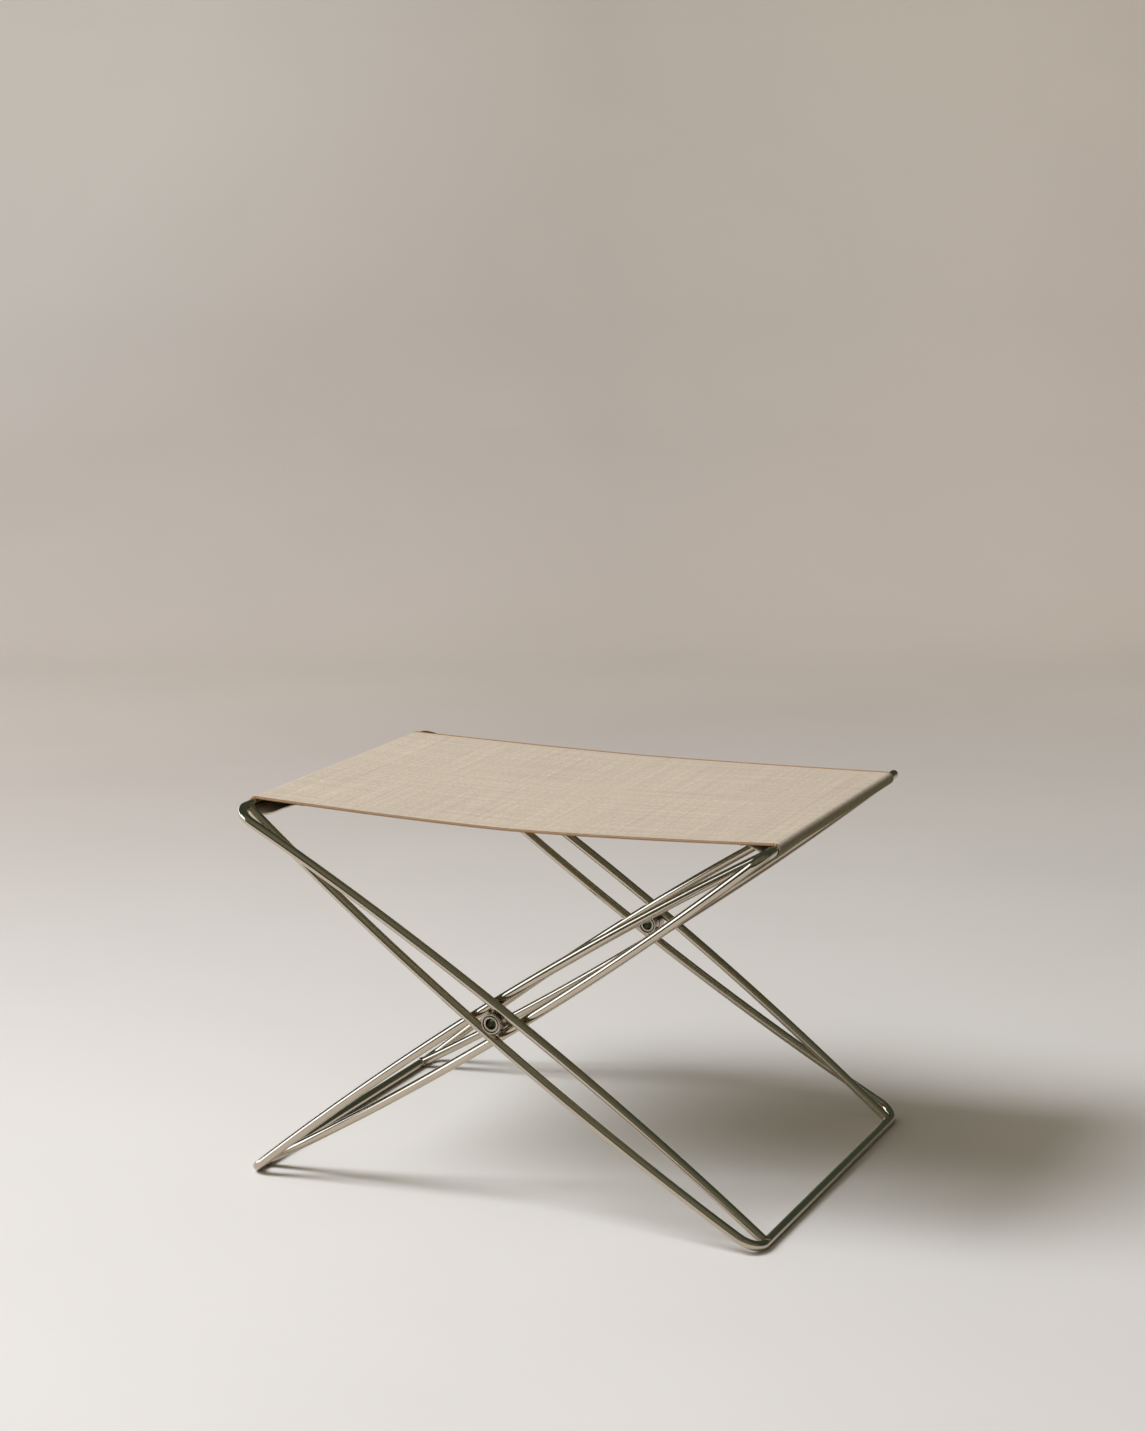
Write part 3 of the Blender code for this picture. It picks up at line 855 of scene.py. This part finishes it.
# %% [markdown]
# The long edges are overlocked in brown thread: it comes up through the cloth 2.2 mm inside the
# edge, goes out over the edge, back underneath, and up again 2.8 mm further on. A chain thread
# holds these loops together at the rim. From where the picture is taken this reads as one fine
# brown line with tiny teeth, and it is modelled thread by thread because close up it is.

# %% Overlocked edges
STITCH_PITCH = 0.0028
STITCH_WIDTH = 0.0022
THREAD_RADIUS = 0.00046
# The way of each thread through one stitch, as shares of the pitch, distances inside the edge and
# shares of the height at which it lies on the cloth; then its thickness and number of sides.
OVERLOCK_THREADS = (
    (((0.0, STITCH_WIDTH, 0.2), (0.08, STITCH_WIDTH * 0.85, 1.1), (0.22, 0.0005, 1.15),
      (0.32, -0.0003, 0.5), (0.40, -0.0003, -0.5), (0.50, 0.0005, -1.15),
      (0.66, STITCH_WIDTH * 0.85, -1.1), (0.75, STITCH_WIDTH, -0.2)), 1.15, 6),
    (((0.1, STITCH_WIDTH, 0.4), (0.3, STITCH_WIDTH, 1.2), (0.7, STITCH_WIDTH, 1.2),
      (0.9, STITCH_WIDTH, 0.4)), 0.8, 5),
    (((0.0, -0.00045, -0.9), (0.25, -0.00045, -0.7), (0.5, -0.00045, -0.9),
      (0.75, -0.00045, -1.0)), 0.6, 7))


def spot_on_edge(station, distance, inboard, lift, side):
    """A point beside the edge: inboard from it, and lift above the middle of the cloth."""
    points, outward, gone = station
    at = [np.interp(distance, gone, points[:, k]) for k in range(3)]
    up = np.array([np.interp(distance, gone, outward[:, k]) for k in range(3)])
    up /= np.linalg.norm(up)
    return np.array(at) + up * lift + np.array([0.0, -side * inboard, 0.0])


def add_edge_stitching(end_name):
    side = SIGN[end_name]
    station = cloth_frame(float(side))
    # The loops run over the bars and stop 60 degrees round them: the picture shows none on hems.
    first = float(station[2][len(hem_line(-1, float(side))) - 6])
    last = float(station[2][5 - len(hem_line(1, float(side)))])
    count = int((last - first) / STITCH_PITCH)
    over = CLOTH / 2 * PRESSED + THREAD_RADIUS * 0.75
    parts = []
    for way, thickness, sides in OVERLOCK_THREADS:
        line = [spot_on_edge(station, first + k * STITCH_PITCH + share * STITCH_PITCH, inboard,
                             lift * over, side)
                for k in range(count) for share, inboard, lift in way]
        parts.append(swept(line, THREAD_RADIUS * thickness, sides))
    piece = add_piece(f"overlocked_{end_name}_edge", *joined(parts), BROWN_THREAD)
    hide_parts(f"{end_name}_edge_stitching")
    print("made", count, "loops along the", end_name, "edge")
    return piece


stitching = [add_edge_stitching("front"), add_edge_stitching("rear")]

# %% [markdown]
# A lockstitch closes each hem, in thread of the canvas colour. Above the cloth it shows as short
# dashes 3 mm apart that sink into the needle holes, and the second thread does the same below.

# %% Hem seams
DASH_PITCH = 0.003
DASH_RADIUS = 0.00022
DASH_INSET = 0.0035  # from the edge of the cloth to the first dash
# The dashes are pulled down into the cloth, so only a sliver of each stands above it.
DASH = ((0.02, -0.0006), (0.15, -0.00012), (0.3, -0.00006), (0.7, -0.00006), (0.85, -0.00012),
        (0.98, -0.0006))


def add_hem_seam(side_name):
    x = seam_x(SIGN[side_name])
    front, rear = edge_y(x, -1), edge_y(x, 1)
    first = front + DASH_INSET
    count = int((rear - DASH_INSET - first) / DASH_PITCH)
    above, below = [], []
    for k in range(count):
        for share, lift in DASH:
            y = first + (k + share) * DASH_PITCH
            across = 2.0 * (y - front) / (rear - front) - 1.0
            height = PIVOT_Z + seat_height(x, across) + waves(x, y)
            above.append((x, y, height + CLOTH / 2 + lift))
            below.append((x, y + DASH_PITCH / 2, height - CLOTH * 1.5 - SEWN_GAP - lift))
    parts = [swept(line, DASH_RADIUS, 7) for line in (above, below[:-3])]
    piece = add_piece(f"sewn_{side_name}_hem", *joined(parts), LINEN_THREAD)
    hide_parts(f"{side_name}_hem_seam")
    print("made", count, "stitches in the", side_name, "hem")
    return piece


hems = [add_hem_seam("left"), add_hem_seam("right")]

# %% [markdown]
# When the stool folds, the left bar stays with the outer frame and the right bar goes with the
# inner one, and the cloth between them would have to follow both. Here the canvas, its edge
# stitching and its hem seams only have their placing baked into their meshes, and they follow
# neither frame.

# %% Cloth baked into place
for piece in [canvas, *stitching, *hems]:
    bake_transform(piece)

# %% [markdown]
# The studio is a pale floor that runs up into a backdrop in one soft curve, so no corner shows.
# It is turned to face the camera. The floor keeps the stool's shadow, and its paint has a slight
# cloudiness, with painted light and shade that make it lighter or greyer from place to place.

# %% Floor and backdrop
CAMERA_AZIMUTH = math.radians(24.288)


def studio_paint():
    made, tree = new_finish("matt_studio_paint")
    where = add_node(tree, "TexCoord").outputs["Object"]
    x, y, z = add_node(tree, "SeparateXYZ", {0: where}).outputs
    # Painted light and shade along the depth of the studio: lighter near the camera, greyer a walk
    # away on the side of the lamp, and lighter again on the backdrop.
    depth = remap(tree, vectors(tree, "DOT_PRODUCT", {0: where, 1: (-0.35, 0.9, 0.0)}, "Value"),
                  -0.7, 4.3)
    tone = ramp(tree, depth, (0.0, "e8e6e3"), (0.18, "e2e0dc"), (0.32, "d9d6d2"),
                (0.44, "d2cdc8"), (0.55, "d2cbc5"), (0.66, "dcd4cd"), (0.8, "e2dad4"),
                (0.93, "e4ddd7"), (1.0, "eee9e5"))
    cloudy = remap(tree, noise(tree, where, 3.0, 6.0, Distortion=0.6), 0.0, 1.0, 0.97, 1.03)
    # Painted shade: the curve leans towards the lamp, so its paint is made a little darker, which
    # hides its start.
    tilt = maths(tree, "POWER", maths(tree, "MAXIMUM", z, 0.0), 0.5)
    painted_curve_shade = remap(tree, tilt, 0.0, 0.6, 1.0, 0.872)
    # Painted light: the far right and the upper half of the wall get less of the lamp, so their
    # paint is made lighter.
    right, far = remap(tree, x, 0.1, 1.1, 0.0, 0.19), remap(tree, y, 1.2, 2.6)
    painted_far_right_light = add_node(tree, "Math", {0: right, 1: far, 2: 1.0}, operation="MULTIPLY_ADD")
    upper = remap(tree, z, 0.65, 1.35, 1.0, 1.17)
    # The paint's own cloudiness, times the painted light and shade above.
    paint_with_painted_light = multiplied(tree, tone, maths(tree, "MULTIPLY", cloudy, painted_curve_shade, painted_far_right_light.outputs[0],
                                        upper))
    # The picture and the mirrors see the whole colour. The light that bounces on to the stool is
    # cut down and olive, as where dark cloths lie round the set, just outside the picture.
    path = add_node(tree, "LightPath").outputs
    seen = maths(tree, "MAXIMUM", path["Is Camera Ray"], path["Is Glossy Ray"],
                 path["Is Transmission Ray"])
    bounced = multiplied(tree, paint_with_painted_light, linear("aaac8e"))
    return finished(made, {"Base Color": mixed(tree, seen, bounced, paint_with_painted_light), "Roughness": 0.8,
                           "Specular IOR Level": 0.2})


def add_studio(finish):
    """Floor, backdrop and a front piece, each of which goes on where another ends."""
    floor_z = -0.0002  # the rods reach 0.17 mm below the flat facets on which the solids rest
    half_width, front_edge = 6.0, -0.9
    radius, start, height = 1.4, 3.0, 1.6
    curve = [(start + radius * math.sin(turn), radius * (1 - math.cos(turn)))
             for turn in (math.pi / 2 * k / 24 for k in range(25))]
    top = [(start + radius, height)]
    lines = {"studio_floor": [(front_edge, 0.0), (0.0, 0.0), (1.5, 0.0)] + curve[:13],
             "studio_backdrop": curve[12:] + top,
             # The floor runs up behind the camera in the same way, for a picture from the back.
             "studio_front": [(front_edge, 0.0)] + [(-y, z) for y, z in curve + top]}
    made = []
    for name, line in lines.items():
        corners = [(x, y, z + floor_z) for y, z in line for x in (-half_width, half_width)]
        faces = [(2 * k, 2 * k + 1, 2 * k + 3, 2 * k + 2) for k in range(len(line) - 1)]
        uvs = [corners[i][:2] for face in faces for i in face]
        piece = add_piece(name, corners, faces, uvs, finish)
        piece.rotation_euler = (0.0, 0.0, CAMERA_AZIMUTH)
        piece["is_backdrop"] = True
        made.append(piece)
    _, backdrop, front = made
    # The steel in the picture shows the dark room over the low part of the backdrop and past the
    # near part of the floor, so mirror reflections leave the other two pieces out.
    backdrop.visible_glossy = front.visible_glossy = False
    # Nothing but the camera meets the front piece: it takes no light from the stool, gives none.
    front.visible_diffuse = front.visible_shadow = False
    return 2 * (start + radius)


studio_depth = add_studio(studio_paint())
print("the studio is", round(studio_depth, 1), "m from front to back")

# %% [markdown]
# One large soft lamp stands to the left and a little in front, high over the stool, and throws
# the seat's shadow to the right. A dim room gives the rest. The steel shows that dark room as long
# olive bands, and the pale floor as light ones underneath, which is most of what makes it steel.

# %% Key lamp
def add_key_lamp():
    light = bpy.data.lights.new("soft_key_lamp", "AREA")
    light.shape = "ELLIPSE"
    light.size, light.size_y = 1.8, 3.0
    light.energy = 224.0
    light.color = linear("f8f9ff")[:3]
    lamp = add_object("soft_key_lamp", light)
    place, target = Vector((-2.58, -1.55, 3.85)), Vector((0.0, 0.0, 0.2))
    lamp.location = place
    lamp.rotation_mode = "QUATERNION"
    lamp.rotation_quaternion = (target - place).to_track_quat("-Z", "Y")
    # Its small bright disc would burn out in the steel, so mirror reflections leave it out.
    lamp.visible_glossy = False
    return lamp


print("key lamp of", add_key_lamp().data.energy, "W")

# %% [markdown]
# The world is the rest of the room, and it answers each kind of ray in its own way. Mirror rays
# see the dark walls and a window, so the steel looks like steel. Matt surfaces get warm stray
# light. The camera sees the colour of the backdrop go on past its edge.

# %% World
TOWARDS_CAMERA = (0.375, -0.927, 0.0)
TOWARDS_LEFT = (-0.927, -0.375, 0.0)
# Bright panes in the room: each rises and falls softly along the way towards the camera, then
# along the height, both from -1 to 1.
PANES = (
    # A tall window draws the crisp white lines on the steel.
    ((-0.16, -0.08), (0.40, 0.33), (0.0, 0.05), (0.52, 0.46)),
    # A low pale strip carries on round to the left and draws the white line round the left bends.
    # Its near half is taller, so that the arms to the right bar keep their dark upper edge.
    ((-0.95, -0.85), (-0.08, -0.16), (-0.05, 0.0), (0.17, 0.11)),
    ((-0.61, -0.51), (-0.08, -0.16), (-0.05, 0.0), (0.28, 0.22)))


def dim_room():
    world = bpy.data.worlds.new("dim_room")
    world.use_nodes = True
    tree = world.node_tree
    tree.nodes.clear()
    path = add_node(tree, "LightPath").outputs
    way = add_node(tree, "TexCoord").outputs["Generated"]

    def pointing(axis):
        """How far a ray points along the axis, from -1 to 1."""
        return vectors(tree, "DOT_PRODUCT", {0: way, 1: axis}, "Value")

    def soft_step(value, start, end):
        """0 before start and 1 after end, with a smooth rise."""
        return remap(tree, value, start, end, interpolation_type="SMOOTHSTEP")

    def glow(colour, strength=1.0):
        return add_node(tree, "Background", {"Color": colour, "Strength": strength}).outputs[0]

    def chosen(share, first, second):
        return add_node(tree, "MixShader", {0: share, 1: first, 2: second}).outputs[0]

    # What the steel sees: olive walls, darker behind the backdrop, in darker and lighter patches.
    height = pointing((0.0, 0.0, 1.0))
    walls = ramp(tree, soft_step(pointing((-0.411, 0.911, 0.0)), -0.7, 0.4), (0.0, "6d6f60"),
                 (1.0, "424b3f"))
    patches = remap(tree, noise(tree, way, 2.4, 2.0), 0.3, 0.7, 0.6, 1.4)
    # Below the walls, past the front edge of the studio floor, lies a dark floor.
    room = mixed(tree, soft_step(height, -0.06, 0.03), linear("3a382e"),
                 multiplied(tree, walls, patches))
    level, left_half = pointing(TOWARDS_CAMERA), soft_step(pointing(TOWARDS_LEFT), 0.0, 0.1)
    panes = [maths(tree, "MULTIPLY", soft_step(level, *far), soft_step(level, *near),
                   soft_step(height, *foot), soft_step(height, *head), left_half)
             for far, near, foot, head in PANES]
    mirrored = chosen(maths(tree, "MAXIMUM", *panes), glow(room), glow(linear("e9f0ff"), 3.0))
    # What lights the matt surfaces: stray light, mostly from above and from the window's side.
    stray = ramp(tree, pointing((-0.6, -0.6, 0.55)), (0.0, "16160f"), (1.0, "d8cebd"))
    lit = chosen(path["Is Glossy Ray"], glow(stray), mirrored)
    shown = chosen(path["Is Camera Ray"], lit, glow(linear("b2a9a0")))
    add_node(tree, "OutputWorld", {0: shown})
    bpy.context.scene.world = world
    return len(tree.nodes)


print("the room is a net of", dim_room(), "nodes")

# %% [markdown]
# The camera was found from the picture itself: the straight rods and the four bars were fitted
# until their edges lay on the picture's edges. It has a long lens, stands 1 m high to the right of
# the front, looks 11 degrees down, and is tipped by half a degree.

# %% Camera
SENSOR = 36.0
FOCAL_PIXELS, PICTURE_HEIGHT = 2834.6, 1431


def add_camera():
    data = bpy.data.cameras.new("camera")
    data.sensor_fit = "VERTICAL"
    data.sensor_width = data.sensor_height = SENSOR
    data.lens = SENSOR * FOCAL_PIXELS / PICTURE_HEIGHT
    data.clip_start, data.clip_end = 0.05, 60.0
    camera = add_object("camera", data)
    down, roll = math.radians(11.043), math.radians(-0.587)
    a = CAMERA_AZIMUTH
    back = Vector((math.sin(a) * math.cos(down), -math.cos(a) * math.cos(down), math.sin(down)))
    right = Vector((math.cos(a), math.sin(a), 0.0))
    up = back.cross(right)
    tipped_right = right * math.cos(roll) + up * math.sin(roll)
    tipped_up = up * math.cos(roll) - right * math.sin(roll)
    turn = Matrix((tipped_right, tipped_up, back)).transposed()
    camera.matrix_world = Matrix.Translation((1.1982, -2.6643, 1.0456)) @ turn.to_4x4()
    bpy.context.scene.camera = camera
    return camera


print("lens of", round(add_camera().data.lens, 1), "mm")

# %% Measure and finish
bpy.context.scene.view_settings.view_transform = "Standard"
bpy.context.view_layer.update()
dressed_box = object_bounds()
for name, box in (("solid", solid_box), ("dressed", dressed_box)):
    print(name, [round((b - a) * 1000, 1) for a, b in zip(*box)], "mm")
